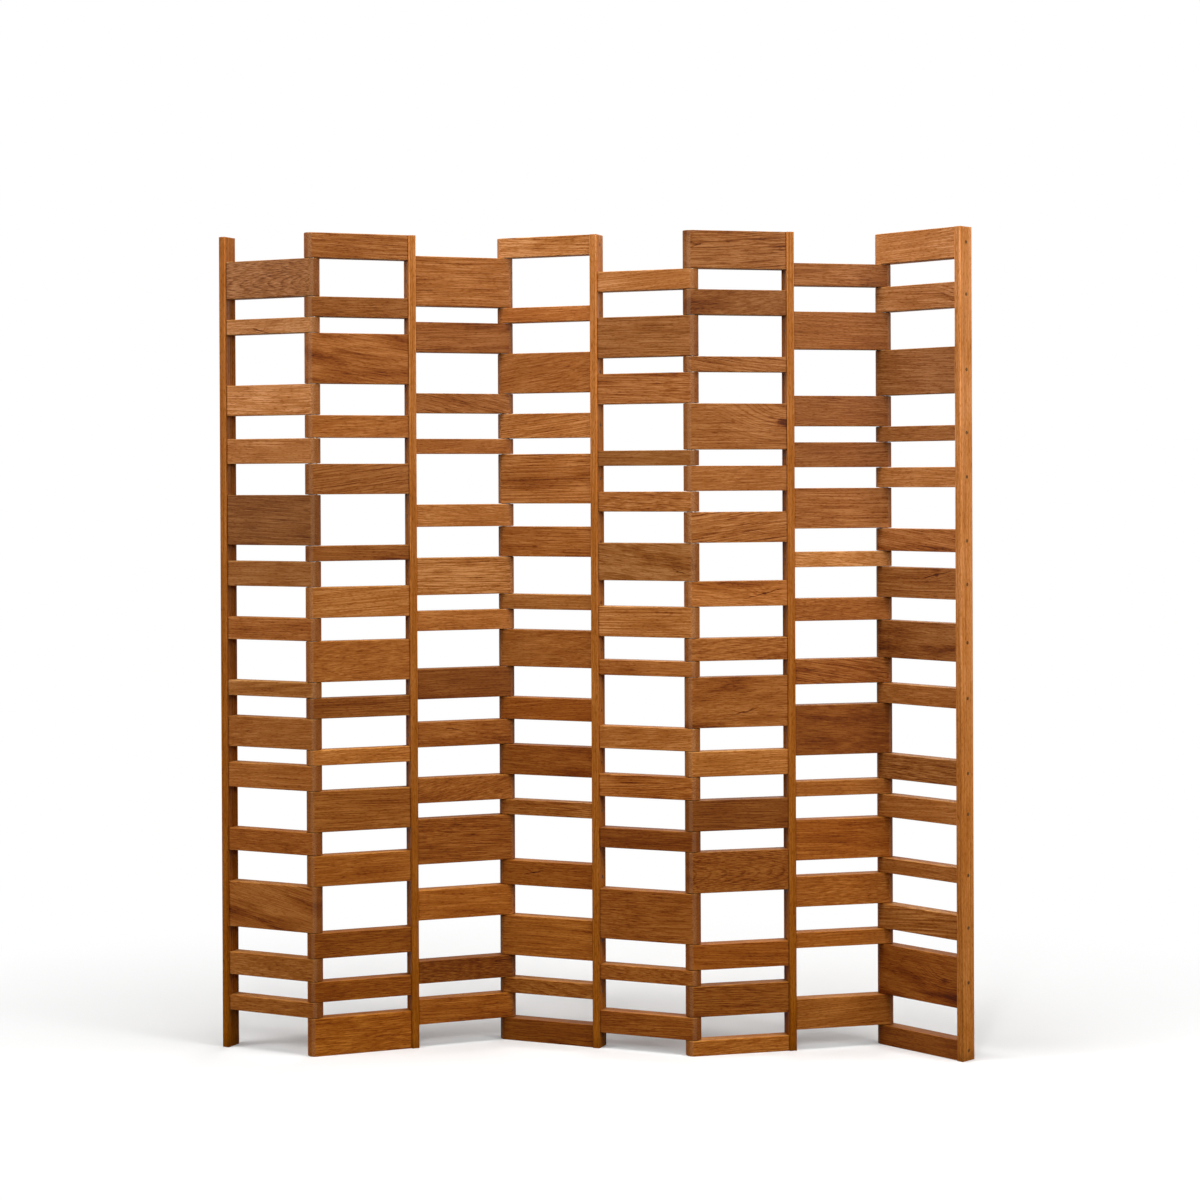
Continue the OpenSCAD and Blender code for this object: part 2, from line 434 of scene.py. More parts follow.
# in metres: wear from the arrises, end grain from the ends, darker towards the floor
postLook = dict(wood, pale=(0.515, 0.222, 0.078), middle=(0.332, 0.114, 0.022), deep=(0.185, 0.048, 0.004),
                worn=(1.0, 1.0, 1.0), roughness=0.5, reflection=0.02,
                fibre=0.6, grain=0.24, strand=0.18, cloud=0.22,
                ragged=0.002, wearSpan=(0.0016, 0.0042), endSpan=(0.0002, 0.0009), shadeAndDirtSpan=(0.004, 0.03),
                footDarkMost=0.5)


def postShade(tree):
    # postEdge is (across the front, from front to back, height), from the post's middle and floor
    edge = attributeOf(tree, "postEdge")
    side, deep, high = (edge.part(i) for i in range(3))
    ragged = raggedEdge(tree, postLook)
    out = (screen["postWidth"] / 2 - side.size()).most(screen["postDepth"] / 2 - deep.size())
    end = high.least(screen["height"] - high)
    wear = 1 - (out.least(end) + ragged).rise(*postLook["wearSpan"])
    endGrainAndShade = 1 - end.rise(*postLook["endSpan"])
    shadeAndDirt = 1 - (high + ragged).rise(*postLook["shadeAndDirtSpan"])
    return woodShade(tree, postLook, wear, endGrainAndShade, shadeAndDirt * postLook["footDarkMost"])


# the sawn and sanded ends of the dowels and caps: dark end grain, and a rim in parts of the radius
plugLook = dict(wood, pale=(0.19, 0.085, 0.026), middle=(0.13, 0.056, 0.015), deep=(0.085, 0.033, 0.008),
                darkest=(0.05, 0.018, 0.004), endGrainAndShade=(0.09, 0.036, 0.009), reflection=0.05,
                rimSpan=(0.9, 1.0), rimWear=0.2, rimEnd=0.1, endMost=0.3, rimDark=0.4)


def plugShade(tree):
    # plugRim is the part of the radius that a point lies at
    rim = attributeOf(tree, "plugRim").part(0).rise(*plugLook["rimSpan"])
    return woodShade(tree, plugLook, rim * plugLook["rimWear"],
                     rim * plugLook["rimEnd"] + plugLook["endMost"], rim * plugLook["rimDark"])


def woodConstants(look):
    return {"Specular IOR Level": look["reflection"], "IOR": 1.5}


slatWood = newMaterial("slatWood", woodConstants(slatLook), slatShade)
postWood = newMaterial("postWood", woodConstants(postLook), postShade)
plugWood = newMaterial("plugWood", woodConstants(plugLook), plugShade)
print("wood materials made")


def cells(rows, across, start=0, wrap=False):
    # the four corners of every cell of a grid of points, numbered along its rows
    index = start + np.arange(rows * across).reshape(rows, across)
    if wrap:
        index = np.hstack([index, index[:, :1]])
    return np.stack([index[:-1, :-1], index[:-1, 1:], index[1:, 1:], index[1:, :-1]], -1).reshape(-1, 4)


def newPiece(name, mesh, attributes, material):
    for key, values in attributes.items():
        mesh.attributes.new(key, "FLOAT_VECTOR", "POINT").data.foreach_set(
            "vector", values.astype(np.float32).ravel())
    mesh.materials.append(material)
    piece = bpy.data.objects.new(name, mesh)
    bpy.context.scene.collection.objects.link(piece)
    return piece


def buildPiece(name, parts, material, body, replaced):
    # each part has its points, a list of faces, a normal for each corner, and attributes of its points
    points, faces, normals, start = [], [], [], 0
    for part in parts:
        points.append(part["points"])
        faces += [(np.asarray(f) + start).tolist() for f in part["faces"]]
        normals.append(part["normals"])
        start += len(part["points"])
    mesh = bpy.data.meshes.new(name)
    mesh.from_pydata(np.vstack(points).tolist(), [], faces)
    mesh.shade_smooth()
    mesh.normals_split_custom_set(np.vstack(normals).tolist())
    attributes = {key: np.vstack([part["attributes"][key] for part in parts])
                  for key in parts[0]["attributes"]}
    piece = newPiece(name, mesh, attributes, material)
    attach(piece, body)
    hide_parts(*replaced)


slats = {
    "thickness": 0.034,
    "arris": 0.0015,
    "neck": 0.202,          # where the flat top gives way to the knuckle's ring of faces
    "neckPoints": 11,       # across the slat, from front to rear
    "knuckleSteps": 24,
    "arrisSteps": 4,
    "bore": 0.004075,
    "capBore": 0.00705,
    "capDepth": 0.009,
    "blindFloor": 0.014,
    "seed": 41,
    "seedsApart": 40,       # between one column's first board and the next one's, like logsApart
    "logsApart": 30,
    "logStep": 1.3,         # metres along the log from one board to the next
    # how much more painted sheen than the others each column has, from the left: paler, less saturated
    # colour
    "paintedSheenShift": (0.20, -0.14, -0.05, -0.08, 0.10, 0.0, 0.0, 0.18),
    # boards that stand out, as (column, place from the top)
    "palest": ((1, 5), (2, 18), (6, 18), (6, 28), (7, 11)),
    "pale": ((1, 3), (1, 7), (2, 12), (2, 28), (3, 9), (3, 11), (3, 13), (3, 23), (3, 27), (4, 0),
             (4, 2), (4, 6), (5, 1), (5, 13), (5, 17), (6, 12), (7, 25), (8, 0), (8, 8)),
    "palish": ((1, 13), (1, 15), (1, 19), (1, 25), (2, 6), (2, 14), (2, 22), (3, 1), (3, 7), (4, 4),
               (4, 8), (4, 12), (4, 24), (5, 9), (5, 19), (6, 10), (7, 13), (7, 19), (7, 21), (7, 23),
               (8, 16), (8, 20), (8, 24)),
    "dullish": ((1, 11), (2, 0), (2, 20), (2, 26), (3, 5), (3, 21), (4, 22), (5, 11), (5, 23), (5, 27),
                (6, 4), (7, 3), (7, 15), (8, 6), (8, 12), (8, 18)),
    "dark": ((1, 1), (2, 2), (2, 8), (2, 10), (2, 16), (2, 24), (3, 3), (4, 18), (5, 3), (5, 7),
             (6, 0), (6, 22), (6, 26), (7, 1), (7, 5), (7, 7), (8, 4), (8, 14), (8, 26)),
    "darkest": ((1, 9), (3, 15), (3, 25), (4, 28), (5, 21), (6, 2), (6, 20), (7, 17), (8, 28)),
    "olive": ((1, 1), (1, 9), (1, 11), (1, 15), (1, 25), (2, 12), (2, 18), (3, 11), (4, 12), (4, 20),
              (4, 26), (5, 7), (5, 11), (5, 13), (6, 18), (6, 28), (7, 11), (7, 27), (8, 18), (8, 22),
              (8, 24)),
    "rich": ((1, 21), (2, 4), (3, 3), (4, 2), (4, 16), (4, 18), (4, 22), (5, 5), (5, 15), (5, 21),
             (6, 24), (7, 1), (7, 15), (7, 17), (7, 21), (8, 10), (8, 26), (8, 28)),
    "striped": ((1, 5), (2, 20), (5, 13), (3, 1), (7, 9), (5, 3)),
    "cathedral": ((1, 1), (6, 22)),
    "lined": ((4, 8), (5, 5), (6, 4), (6, 0), (7, 15), (8, 24), (8, 18), (6, 10), (5, 19), (6, 26), (3, 11)),
    "plain": ((1, 7), (2, 6), (2, 18), (2, 22), (3, 9), (3, 13), (3, 23), (4, 2), (4, 12), (4, 16), (5, 1),
              (5, 17), (6, 8), (6, 18), (7, 19), (7, 25), (8, 0), (8, 8), (8, 20), (3, 7), (1, 19)),
    "smoky": ((2, 4), (2, 8), (2, 10), (2, 24), (3, 3), (3, 15), (4, 18), (5, 5), (6, 0), (6, 2),
              (6, 16), (6, 26), (7, 1), (7, 17), (8, 14), (8, 26), (1, 23), (8, 10), (4, 22), (5, 11)),
    # how steeply the grain falls towards the hinge
    "slopes": {(1, 23): 0.20, (2, 4): -0.12, (2, 8): 0.12, (2, 12): 0.05, (3, 5): 0.20, (3, 19): -0.20,
               (4, 4): 0.15, (4, 6): 0.12, (5, 11): 0.10, (6, 4): -0.14, (6, 10): 0.12, (7, 11): 0.06,
               (7, 15): 0.16, (8, 10): -0.12, (8, 24): 0.08},
    # knots: metres from the post's middle, part of the board's width from below, radius in metres
    "knots": {(6, 12): (0.062, 0.50, 0.0062), (8, 12): (0.062, 0.78, 0.0055), (6, 0): (0.214, 0.60, 0.0025),
              (6, 6): (0.006, 0.58, 0.0260), (8, 2): (-0.012, 0.35, 0.0120), (8, 26): (0.042, 0.48, 0.0130),
              (3, 17): (0.090, 0.70, 0.0022), (4, 22): (0.150, 0.55, 0.0035), (5, 11): (0.195, 0.25, 0.0030),
              (1, 3): (0.100, 0.20, 0.0030), (6, 16): (0.110, 0.30, 0.0050)},
    # how bright and how warm the boards of each group are, and how much a board strays from that
    "levels": {"palest": 1.42, "pale": 1.25, "palish": 1.11, "dullish": 0.90, "dark": 0.79, "darkest": 0.64},
    "warmths": {"olive": -1.0, "rich": 0.9},
    "levelSpread": 0.02,
    "warmthSpread": 0.25,
    # what a board is drawn from: strength of the rings (the least, what is added to it, and the power
    # of the random part), pitch in metres, streaks, degrees of the cut, metres to the pith and past it
    "drawn": {"strength": (0.06, 0.46, 1.8), "pitch": (0.0035, 0.0075), "streaks": (0, 0.6),
              "sawn": (15, 70), "far": (0.10, 0.25), "offset": (-0.03, 0.03)},
    "slopeSpread": 0.035,
    # what the boards of a group have instead, and what their drawn values are multiplied by
    "cuts": {"striped": {"far": 0.24, "strength": 0.32, "pitch": 0.0070},
             "lined": {"strength": 0.56, "pitch": 0.0062},
             "plain": {"strength": 0.06, "streaks": 0.05},
             "smoky": {"streaks": 0.85},
             "cathedral": {"sawn": 88, "far": 0.030, "strength": 0.55, "pitch": 0.0026}},
    "stripedSawn": (0, 10),
    "stripedSlope": 0.2,
    "linedSawn": 0.6,
    "cathedralSlope": -0.09,
    "cathedralOffset": 0.2,
    "farFromKnot": (1, 1, 0.001),       # the place of a knot a metre away, and its radius
}


def slatSolid(width, isTop, isFoot):
    # A flat bar with a half-round end. The skin is a section carried along the plan outline:
    # point(u, v) = spine(u) + (half thickness - inset(v)) * outward(u), at height(v); the outline runs
    # up the front, round the hinge axis by angle and back down the rear, and the section rounds the
    # two long arrises by quarter circles. Rings of faces join the flats to the bore.
    half, r, reach = slats["thickness"] / 2, slats["arris"], screen["reach"]
    end, neck = screen["postWidth"] / 2, slats["neck"]
    turn = np.linspace(-np.pi / 2, np.pi / 2, slats["knuckleSteps"] + 1)
    spine = np.concatenate([[end, neck], np.full(len(turn), reach), [neck, end]])
    angle = np.concatenate([[-np.pi / 2] * 2, turn, [np.pi / 2] * 2])
    quarter = np.linspace(0, np.pi / 2, slats["arrisSteps"] + 1)
    lift = np.concatenate([np.pi / 2 - quarter, -quarter])     # slope of the section's normal
    inset = r * (1 - np.cos(lift))
    height = np.where(lift > 0, width - r, r) + r * np.sin(lift)
    height[len(quarter) - 1] = width - r
    outward = np.stack([np.cos(angle), np.sin(angle)], 1)
    rows, across = len(spine), len(lift)
    flat = np.zeros((rows, across, 3))
    flat[..., 0] = spine[:, None] + (half - inset) * outward[:, :1]
    flat[..., 1] = (half - inset) * outward[:, 1:]
    flat[..., 2] = height
    skinNormal = np.concatenate([np.cos(lift)[None, :, None] * outward[:, None, :],
                                 np.broadcast_to(np.sin(lift)[None, :, None], (rows, across, 1))], 2)
    skin = cells(rows, across)
    points, faces = [flat.reshape(-1, 3)], list(skin)
    normals = [skinNormal.reshape(-1, 3)[skin.ravel()]]
    number = rows * across
    up, down = np.array([0, 0, 1.0]), np.array([0, 0, -1.0])

    def add(newPoints):
        nonlocal number
        points.append(newPoints)
        number += len(newPoints)
        return np.arange(number - len(newPoints), number)

    def face(loop, normal):
        faces.append(np.asarray(loop))
        normals.append(np.broadcast_to(normal, (len(loop), 3)))

    # the end against the post
    first, final = np.arange(across), (rows - 1) * across + np.arange(across)
    face(np.concatenate([first, final[::-1]])[::-1], (-1.0, 0, 0))
    # the bore's rings have one point for each point round the knuckle's flat
    step = np.pi / (slats["neckPoints"] + 1)
    rear = np.pi / 2 + step * np.arange(1, slats["neckPoints"])
    ringAngle = np.concatenate([[-np.pi / 2 - step], turn, rear])

    def lineAt(z):
        y = np.linspace(half - r, r - half, slats["neckPoints"])[1:-1]
        return add(np.stack([np.full(len(y), neck), y, np.full(len(y), z)], 1))

    def ringAt(radius, z):
        return add(np.stack([reach + radius * np.cos(ringAngle), radius * np.sin(ringAngle),
                             np.full(len(ringAngle), z)], 1))

    def band(outer, inner, bandNormals, flip=False):
        # bandNormals: one per point of the loop, or one for all
        bandNormals = np.broadcast_to(bandNormals, (len(outer), 3))
        after = np.roll(np.arange(len(outer)), -1)
        loops = np.stack([outer, outer[after], inner[after], inner], 1)
        near = np.arange(len(outer))
        pick = np.stack([near, after, after, near], 1)
        if flip:
            loops, pick = loops[:, ::-1], pick[:, ::-1]
        faces.extend(loops)
        normals.append(bandNormals[pick.ravel()])

    towardsAxis = np.stack([-np.cos(ringAngle), -np.sin(ringAngle), np.zeros(len(ringAngle))], 1)
    topLoop = np.arange(rows) * across
    line = lineAt(width)
    outer = np.concatenate([topLoop[1:-1], line])
    level = ringAt(slats["capBore"] if isTop else slats["bore"], width)
    band(outer, level, up)
    face(np.concatenate([topLoop[:2], line[::-1], topLoop[-2:]]), up)
    if isTop:
        shelf = ringAt(slats["capBore"], width - slats["capDepth"])
        band(level, shelf, towardsAxis)
        level = ringAt(slats["bore"], width - slats["capDepth"])
        band(shelf, level, up)
    footLoop = topLoop + across - 1
    if isFoot:
        shelf = ringAt(slats["bore"], slats["blindFloor"])
        band(level, shelf, towardsAxis)
        face(shelf, up)
        face(footLoop[::-1], down)
    else:
        line = lineAt(0.0)
        outer = np.concatenate([footLoop[1:-1], line])
        shelf = ringAt(slats["bore"], 0.0)
        band(level, shelf, towardsAxis)
        band(outer, shelf, down, flip=True)
        face(np.concatenate([footLoop[:2], line[::-1], footLoop[-2:]])[::-1], down)
    return np.vstack(points), faces, np.vstack(normals)


def tint(level, warmth, paintedSheen=0):
    # darker boards are redder as well, and a warm one holds less green and blue, one with painted sheen more
    return np.stack([level ** power * (own - warm * warmth + pale * paintedSheen)
                     for power, own, warm, pale in wood["tint"]], -1)


def boardCharacter(column, place):
    # how this board was sawn and how dark it is: the named boards are set, the others are drawn
    draw = np.random.default_rng(slats["seed"] * 1000 + column * slats["seedsApart"] + place)
    key, drawn, cuts = (column, place), slats["drawn"], slats["cuts"]
    level = next((v for k, v in slats["levels"].items() if key in slats[k]), 1.0)
    level *= math.exp(draw.normal(0, slats["levelSpread"]))
    warmth = next((v for k, v in slats["warmths"].items() if key in slats[k]), 0.0)
    warmth += draw.normal(0, slats["warmthSpread"])
    least, more, power = drawn["strength"]
    board = {"strength": least + more * draw.random() ** power, "pitch": draw.uniform(*drawn["pitch"]),
             "streaks": draw.uniform(*drawn["streaks"]), "sawn": draw.uniform(*drawn["sawn"]),
             "far": draw.uniform(*drawn["far"]), "slope": draw.normal(0, slats["slopeSpread"], 2)}
    if key in slats["striped"]:
        board.update(cuts["striped"], sawn=draw.uniform(*slats["stripedSawn"]),
                     slope=board["slope"] * slats["stripedSlope"])
    if key in slats["lined"]:
        board.update(cuts["lined"], sawn=board["sawn"] * slats["linedSawn"])
    if key in slats["plain"]:
        board.update(cuts["plain"])
    if key in slats["smoky"]:
        board.update(cuts["smoky"])
    board["slope"][1] = slats["slopes"].get(key, board["slope"][1])
    side, offset = draw.choice([-1, 1]), draw.uniform(*drawn["offset"], 2)[1]
    if key in slats["cathedral"]:
        # the pith lies behind the front face and nears it towards the hinge: the rings make arches
        side, offset = 1 if column % 2 == 0 else -1, offset * slats["cathedralOffset"]
        board.update(cuts["cathedral"], slope=np.array([slats["cathedralSlope"] * side, 0.0]))
    # painted sheen: the boards higher up, and those of some columns, are paler and less saturated
    paintedSheen = undersideOf(hingeOf(column), place) / screen["height"] - 0.5 + slats["paintedSheenShift"][column - 1]
    board.update(tone=tint(level, warmth, paintedSheen), sawn=math.radians(board["sawn"]) * side, offset=offset)
    return board


def sawnFrom(points, board, shift):
    # (along, thickness, width) of the board turned into the log: the pith lies far off, by the angle
    # at which the board was sawn, and the grain runs off a little along the length
    run = points[:, 0] - wood["slopeStart"]
    place = np.empty_like(points)
    place[:, 0] = points[:, 0] + shift
    place[:, 1] = points[:, 1] + math.sin(board["sawn"]) * board["far"] + board["slope"][0] * run
    place[:, 2] = (points[:, 2] + math.cos(board["sawn"]) * board["far"] + board["offset"]
                   + board["slope"][1] * run)
    return place


def boardAttributes(place, board):
    count = len(place)
    return {"grainPlace": place,
            "boardTone": np.broadcast_to(board["tone"], (count, 3)),
            "boardFigure": np.tile((board["strength"], board["pitch"], board["streaks"]), (count, 1)),
            "boardMark": np.tile(slats["farFromKnot"], (count, 1))}


def slatPart(column, place):
    hinge = hingeOf(column)
    width, under = slatWidth(hinge, place), undersideOf(hinge, place)
    points, faces, normals = slatSolid(width, place == 0, place == lastPlace)
    board = boardCharacter(column, place)
    shift = slats["logStep"] * (column * slats["logsApart"] + place)
    attributes = boardAttributes(sawnFrom(points - (0, 0, width / 2), board, shift), board)
    attributes["slatEdge"] = np.stack([points[:, 0], points[:, 2], width - points[:, 2]], 1)
    if (column, place) in slats["knots"]:
        start, part, size = slats["knots"][column, place]
        attributes["boardMark"] = np.stack([points[:, 0] - start, points[:, 2] - part * width,
                                            np.full(len(points), size)], 1)
    matrix = columnMatrix(column)
    return {"points": moved(points + (0, 0, under), matrix), "faces": faces,
            "normals": turned(normals, matrix), "attributes": attributes}


for column in columns:
    for size, letters in sizeLetters.items():
        parts = [slatPart(column, k) for k in placesOf(column)
                 if screen["orders"][hingeOf(column)][k] in letters]
        buildPiece(f"{size}SlatBoards{column}", parts, slatWood, bodyNames[frameOf(column)],
                   [f"{size}_slats_{column}"])
print("slats made")


posts = {
    "seed": 7,
    "levels": (0.98, 1.23, 1.22, 1.10, 1.42),
    "paintedSheenShift": (-0.36, -0.28, -0.28, -0.33, 0.02),     # one value per post, like levels
    "sheenByHeight": 0.65,         # the part of the slats' change with height that a post has
    "warmth": 0.8,
    "strength": 0.32,
    "pitch": 0.0052,
    "streaks": 0.25,
    "sawn": (35, 60),       # degrees
    "far": (0.12, 0.2),     # metres to the pith
    "slopeSpread": 0.006,
    "logStart": 300,        # metres along the log, past every slat's
    "logStep": 5,
    "joined": 1e-6,         # metres between corners that are one
    "sharpFrom": 28,        # degrees between faces that meet in a crisp edge
}


def copyOfNode(node, name):
    # the CAD surface with its loose corners joined, for its true dowel holes and eased ends
    mesh = nodes[node].data.copy()
    mesh.name = name
    work = bmesh.new()
    work.from_mesh(mesh)
    bmesh.ops.remove_doubles(work, verts=work.verts, dist=posts["joined"])
    work.to_mesh(mesh)
    work.free()
    mesh.shade_smooth()
    mesh.set_sharp_from_angle(angle=math.radians(posts["sharpFrom"]))
    mesh.materials.clear()
    return mesh


for f, node in enumerate(postNames):
    name = f"{bodyNames[f]}Post"
    mesh = copyOfNode(node, name)
    at = np.empty(len(mesh.vertices) * 3, np.float32)
    mesh.vertices.foreach_get("co", at)
    local = moved(at.reshape(-1, 3).astype(float), postMatrix(f).inverted())
    draw = np.random.default_rng(posts["seed"] + f)
    # painted sheen: the post grows paler and less saturated upwards
    paintedSheen = posts["sheenByHeight"] * (local[:, 2] / screen["height"] - 0.5) + posts["paintedSheenShift"][f]
    board = {"tone": tint(posts["levels"][f], posts["warmth"], paintedSheen), "strength": posts["strength"],
             "pitch": posts["pitch"], "streaks": posts["streaks"],
             "sawn": math.radians(draw.uniform(*posts["sawn"])), "far": draw.uniform(*posts["far"]),
             "slope": draw.normal(0, posts["slopeSpread"], 2), "offset": 0}
    shift = posts["logStart"] + posts["logStep"] * f
    attributes = boardAttributes(sawnFrom(local[:, [2, 0, 1]], board, shift), board)
    attributes["postEdge"] = local
    piece = newPiece(name, mesh, attributes, postWood)
    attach(piece, bodyNames[f])
    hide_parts(node)
print("posts made")


plugs = {
    "dowel": 0.004,         # radius, like cap
    "dowelDepth": 0.040,
    "dowelPitch": 0.012,
    "dowelEase": 0.0004,
    "cap": 0.007,
    "capLength": 0.009,
    "capEase": 0.0005,
    "sides": 20,
    "middle": 0.55,         # part of the radius where the end's inner face starts
    "firstCap": 500,        # number of the first cap, after the numbers of the dowels
    "seed": 900,
    "levelSpread": 0.08,
    "strength": 0.4,
    "pitch": 0.0016,
    "streaks": 0.1,
    "sawn": (0, 3),         # radians
    "far": (0.003, 0.02),   # metres to the pith
    "logStart": 400,
    "logStep": 0.4,
}


def dowelHeight(column, place):
    # the middle of the slat, moved off where the next column's dowel would meet it in the post
    def mid(c, k):
        return undersideOf(hingeOf(c), k) + slatWidth(hingeOf(c), k) / 2

    beside = column + 1 if column % 2 == 0 else column - 1
    z, pitch = mid(column, place), plugs["dowelPitch"]
    near = [z - mid(beside, k) for k in placesOf(beside)
            if abs(z - mid(beside, k)) < pitch] if beside in columns else []
    if not near:
        return z
    side = 1 if near[0] > 0 or (near[0] == 0 and column % 2 == 0) else -1
    return z + side * (pitch - abs(near[0])) / 2


def plugSolid(radius, length, ease, sides):
    # A peg along +X from X = 0, its radius turned about the axis, with both ends eased and closed:
    # point(u, v) = (x(v), radius(v) * cosine of u, radius(v) * sine of u)
    along = np.array([0, 0, ease, length - ease, length, length])
    middle = plugs["middle"] * radius
    out = np.array([middle, radius - ease, radius, radius, radius - ease, middle])
    turn = np.linspace(0, 2 * np.pi, sides, endpoint=False)
    grid = np.stack([np.broadcast_to(along[:, None], (len(along), sides)),
                     out[:, None] * np.cos(turn), out[:, None] * np.sin(turn)], -1)
    radial = np.stack([np.zeros(sides), np.cos(turn), np.sin(turn)], 1)
    axis = np.array([[1.0, 0, 0]] * sides)
    slant = math.sqrt(0.5)
    rowNormals = [-axis, slant * (radial - axis), radial, slant * (radial + axis), axis]
    faces, normals = [], []
    for row, normal in enumerate(rowNormals):
        band = cells(2, sides, row * sides, wrap=True)
        faces += list(band)
        normals.append(normal[band.ravel() % sides])
    faces += [np.arange(sides)[::-1], (len(along) - 1) * sides + np.arange(sides)]
    normals += [-axis, axis]
    return grid.reshape(-1, 3), faces, np.vstack(normals)


def plugPart(radius, length, ease, matrix, number):
    points, faces, normals = plugSolid(radius, length, ease, plugs["sides"])
    draw = np.random.default_rng(plugs["seed"] + number)
    board = {"tone": tint(math.exp(draw.normal(0, plugs["levelSpread"])), 0), "strength": plugs["strength"],
             "pitch": plugs["pitch"], "streaks": plugs["streaks"], "sawn": draw.uniform(*plugs["sawn"]),
             "far": draw.uniform(*plugs["far"]), "slope": (0, 0), "offset": 0}
    shift = plugs["logStart"] + plugs["logStep"] * number
    attributes = boardAttributes(sawnFrom(points, board, shift), board)
    off = np.hypot(points[:, 1], points[:, 2]) / radius
    attributes["plugRim"] = np.stack([off, off, off], 1)
    return {"points": moved(points, matrix), "faces": faces,
            "normals": turned(normals, matrix), "attributes": attributes}


for column in columns:
    start = Matrix.Translation((-screen["postWidth"] / 2, 0, 0))
    parts = [plugPart(plugs["dowel"], screen["postWidth"] + plugs["dowelDepth"], plugs["dowelEase"],
                      columnMatrix(column) @ Matrix.Translation((0, 0, dowelHeight(column, k))) @ start,
                      column * slats["seedsApart"] + k) for k in placesOf(column)]
    buildPiece(f"dowels{column}", parts, plugWood, bodyNames[frameOf(column)],
               [f"slat_dowels_{column}"])

upright = Matrix.Rotation(-math.pi / 2, 4, "Y")
for hinge in range(len(screen["orders"])):
    x, y = corners[2 * hinge + 1]
    at = Matrix.Translation((x, y, screen["height"] - plugs["capLength"]))
    parts = [plugPart(plugs["cap"], plugs["capLength"], plugs["capEase"], at @ upright,
                      plugs["firstCap"] + hinge)]
    buildPiece(f"rodPlug{hinge + 1}", parts, plugWood, bodyNames[hinge + 1],
               [f"rod_cap_{hinge + 1}"])
print("dowels and caps made")


# the rods and washers keep their CAD shapes and get steel: drawn lines, dull patches and stained spots
steel = {
    "bright": (0.56, 0.57, 0.58),
    "dull": (0.36, 0.36, 0.36),
    "stain": (0.20, 0.15, 0.11),
    "drawnRate": (900, 900, 25),    # changes in a metre
    "patchRate": (60, 60, 12),
    "spotRate": (700, 700, 700),
    "patchSpan": (0.45, 0.7),
    "spotSpan": (0.66, 0.74),
    "dullBy": {"patch": 0.7, "drawn": 0.4},
    "spotShow": 0.5,
    "roughness": 0.3,
    "rough": {"drawn": 0.15, "patch": 0.12, "spot": 0.2},
    "bump": 0.15,
    "bumpDepth": 0.0001,            # metres
}


def steelShade(tree):
    dullBy, rough = steel["dullBy"], steel["rough"]
    place = Wire.node(tree, "ShaderNodeTexCoord", None, None, 3)
    drawn = place.by(steel["drawnRate"]).noise(detail=2.0) - 0.5
    patch = place.by(steel["patchRate"]).noise(detail=3.0).rise(*steel["patchSpan"])
    spot = place.by(steel["spotRate"]).noise(detail=1.0).rise(*steel["spotSpan"])
    dull = patch * dullBy["patch"] + drawn * dullBy["drawn"]
    colour = dull.tinted(steel["bright"] + (1,), steel["dull"] + (1,))
    colour = (spot * steel["spotShow"]).tinted(colour, steel["stain"] + (1,))
    bump = Wire.node(tree, "ShaderNodeBump", None,
                     {"Strength": steel["bump"], "Distance": steel["bumpDepth"],
                      "Height": drawn - spot * steel["spotShow"]})
    roughness = (steel["roughness"] + drawn * rough["drawn"] + patch * rough["patch"]
                 + spot * rough["spot"])
    return {"Base Color": colour, "Roughness": roughness, "Normal": bump}


rodSteel = newMaterial("rodSteel", {"Metallic": 1.0}, steelShade)
for hinge in range(len(screen["orders"])):
    for node in (f"hinge_rod_{hinge + 1}", f"hinge_washers_{hinge + 1}"):
        for holder in nodes[node].material_slots:
            holder.material = rodSteel
print("steel assigned")


studio = {
    "floor": (0.92, 0.92, 0.915),    # as the camera sees it
    "bounce": (0.05, 0.049, 0.047),  # as the wood is lit by it
    "nearFloor": 0.55,               # metres from the middle where the floor starts to fade to white
    "farFloor": 1.7,
    "oval": (0.75, 1, 1),            # what those distances count as, along the screen and across it
    "floorReach": 14,
    "floorLines": 9,
    "white": (1, 1, 1, 1),
    "fill": 0.03,                    # strength of the even light from all sides
    "fillColour": (1.0, 0.97, 0.93, 1),
    "lamps": (
        # name, place, aim, width and height in metres, watts
        ("keyLamp", (-3.7, -0.9, 2.5), (0.0, 0.0, 1.2), (1.6, 1.6), 71),
        ("leftLamp", (-2.8, -2.4, 3.2), (0.0, 0.0, 1.2), (1.6, 1.4), 24),
        ("frontLamp", (-0.6, -4.6, 2.8), (0.0, 0.0, 1.1), (0.5, 0.9), 59),
        ("rightLamp", (2.3, -1.7, 1.8), (0.4, 0.0, 1.0), (1.0, 1.4), 44),
        ("sideLamp", (3.7, -0.7, 2.2), (0.0, 0.0, 1.1), (1.4, 1.8), 24),
        ("topLamp", (0.0, -0.4, 3.6), (0.0, 0.0, 0.0), (2.2, 1.2), 64),
        ("backLamp", (1.0, 3.2, 2.6), (0.0, 0.0, 0.9), (2.4, 1.6), 58),
    ),
}


def seenDirectly(tree):
    # 1 for a ray from the camera, a reflection or clear glass, and 0 for light that spreads
    path = Wire.node(tree, "ShaderNodeLightPath")
    return path.most(path.beside("Is Glossy Ray")).most(path.beside("Is Transmission Ray"))


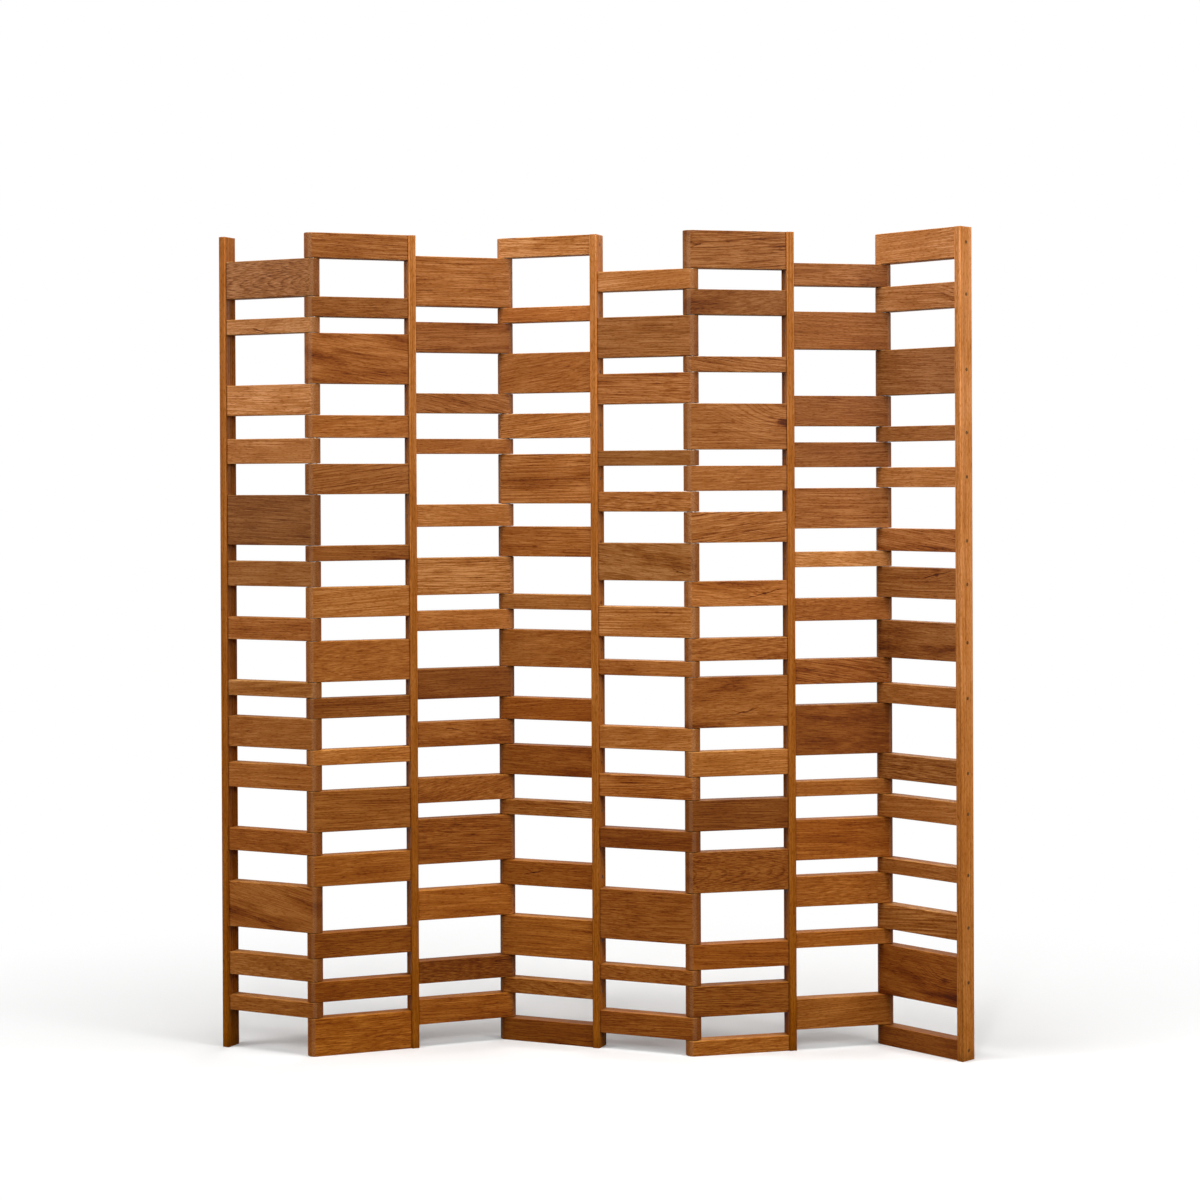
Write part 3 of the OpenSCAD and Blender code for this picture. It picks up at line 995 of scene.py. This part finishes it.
def makeWorld():
    world = bpy.data.worlds.new("studioWorld")
    world.use_nodes = True
    bpy.context.scene.world = world
    tree = world.node_tree
    tree.nodes.clear()
    seen = seenDirectly(tree)
    even = Wire.node(tree, "ShaderNodeBackground", None,
                     {"Color": studio["fillColour"], "Strength": studio["fill"]})
    white = Wire.node(tree, "ShaderNodeBackground", None, {"Color": studio["white"], "Strength": 1.0})
    mixed = Wire.node(tree, "ShaderNodeMixShader", None, {0: seen, 1: even, 2: white})
    out = tree.nodes.new("ShaderNodeOutputWorld")
    tree.links.new(mixed.socket, out.inputs["Surface"])


def makeFloor():
    # a flat square grid, point(u, v) = (u, v, 0), under the screen
    lines = studio["floorLines"]
    span = np.linspace(-studio["floorReach"], studio["floorReach"], lines)
    u, v = np.meshgrid(span, span, indexing="ij")
    points = np.stack([u, v, np.zeros_like(u)], -1).reshape(-1, 3)
    mesh = bpy.data.meshes.new("studioFloor")
    mesh.from_pydata(points.tolist(), [], cells(lines, lines)[:, ::-1].tolist())
    material = bpy.data.materials.new("paleFloor")
    material.use_nodes = True
    tree = material.node_tree
    seen = seenDirectly(tree)
    pale, dim = (Wire.node(tree, "ShaderNodeBsdfDiffuse", None, {"Color": (*studio[key], 1)})
                 for key in ("floor", "bounce"))
    white = Wire.node(tree, "ShaderNodeEmission", None, {"Color": studio["white"], "Strength": 1.0})
    place = Wire.node(tree, "ShaderNodeTexCoord", None, None, 3)
    fade = place.by(studio["oval"]).length().rise(studio["nearFloor"], studio["farFloor"])
    mixed = Wire.node(tree, "ShaderNodeMixShader", None, {0: fade, 1: pale, 2: white})
    mixed = Wire.node(tree, "ShaderNodeMixShader", None, {0: seen, 1: dim, 2: mixed})
    tree.links.new(mixed.socket, tree.nodes["Material Output"].inputs["Surface"])
    mesh.materials.append(material)
    floor = bpy.data.objects.new("studioFloor", mesh)
    bpy.context.scene.collection.objects.link(floor)


def makeLamps():
    for name, place, aim, (wide, high), watts in studio["lamps"]:
        lamp = bpy.data.lights.new(name, "AREA")
        lamp.shape, lamp.size, lamp.size_y = "RECTANGLE", wide, high
        lamp.energy = watts
        holder = bpy.data.objects.new(name, lamp)
        bpy.context.scene.collection.objects.link(holder)
        holder.visible_camera = False
        holder.location = place
        look = np.array(aim) - np.array(place)
        holder.rotation_euler = Vector(look).to_track_quat("-Z", "Y").to_euler()


makeWorld()
makeFloor()
makeLamps()
bpy.context.scene.view_settings.view_transform = "Standard"
print("studio made")
